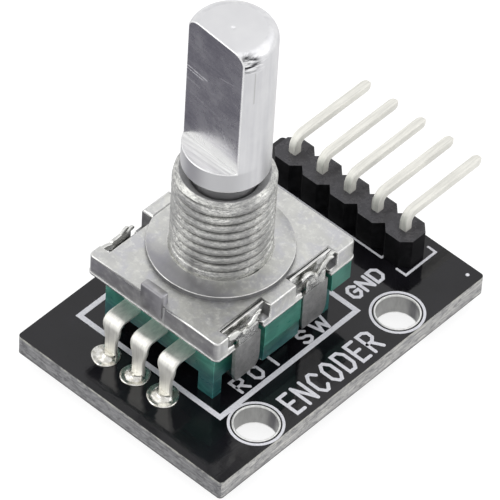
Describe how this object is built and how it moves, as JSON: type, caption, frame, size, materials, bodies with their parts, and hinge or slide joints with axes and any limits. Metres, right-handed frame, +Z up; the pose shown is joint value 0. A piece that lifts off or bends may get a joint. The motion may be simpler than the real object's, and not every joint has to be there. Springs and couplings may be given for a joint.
{
  "type": "rotary encoder module",
  "caption": "Rotary encoder with a D shaft, threaded bushing and push switch on a small black circuit board with a bent pin header.",
  "frame": {"origin": "centre of the bushing at its base, on the plane where a panel sits", "axes": "+Z up the shaft, +Y towards the pin header, -Y towards the three encoder terminals, +X towards the mounting holes"},
  "size_m": [0.0186, 0.0315, 0.0299],
  "materials": {
    "solder_mask": "black glossy solder mask on glass epoxy",
    "tinned_copper": "bright tinned copper",
    "header_plastic": "black moulded thermoplastic",
    "tinned_brass": "satin tin plate on brass",
    "solder": "bright solder",
    "green_plastic": "teal green moulded plastic",
    "nickel_steel": "nickel plated steel sheet",
    "die_cast_zinc": "satin die-cast zinc",
    "aluminium": "fine turned aluminium",
    "spring_steel": "stainless spring steel",
    "rotor_plastic": "natural acetal",
    "ceramic": "resistor body with tinned ends"
  },
  "bodies": {
    "module": {"bushing_plate": "die_cast_zinc", "chip_resistor_1": "ceramic", "chip_resistor_2": "ceramic", "circuit_board": "solder_mask", "detent_spring": "spring_steel", "encoder_base": "green_plastic", "header_housing": "header_plastic", "header_pin_1": "tinned_brass", "header_pin_2": "tinned_brass", "header_pin_3": "tinned_brass", "header_pin_4": "tinned_brass", "header_pin_5": "tinned_brass", "header_solder": "solder", "hole_plating_front": "tinned_copper", "hole_plating_rear": "tinned_copper", "mounting_bracket": "nickel_steel", "snap_dome": "spring_steel", "switch_solder": "solder", "switch_terminal_d": "tinned_brass", "switch_terminal_e": "tinned_brass", "terminal_a": "tinned_brass", "terminal_b": "tinned_brass", "terminal_c": "tinned_brass", "terminal_solder_a": "solder", "terminal_solder_b": "solder", "terminal_solder_c": "solder"},
    "rotor": {"rotor": "rotor_plastic", "code_disc": "tinned_copper"},
    "shaft": {"shaft": "aluminium", "retaining_ring": "spring_steel"},
    "plunger": {"switch_plunger": "rotor_plastic"}
  },
  "joints": [
    {"name": "shaft_turn", "type": "hinge", "parent": "module", "child": "rotor", "pos_m": [0, 0, 0], "axis": [0, 0, 1], "continuous": true},
    {"name": "shaft_push", "type": "slide", "parent": "rotor", "child": "shaft", "axis": [0, 0, -1], "range_m": [0, 0.0005], "stiffness_N_per_m": 400, "springref_m": -0.001},
    {"name": "plunger_push", "type": "slide", "parent": "module", "child": "plunger", "axis": [0, 0, -1], "range_m": [0, 0.0005], "deforming": ["snap_dome"]}
  ],
  "couplings": [
    {"joint": "plunger_push", "follows": "shaft_push", "ratio": 1}
  ]
}
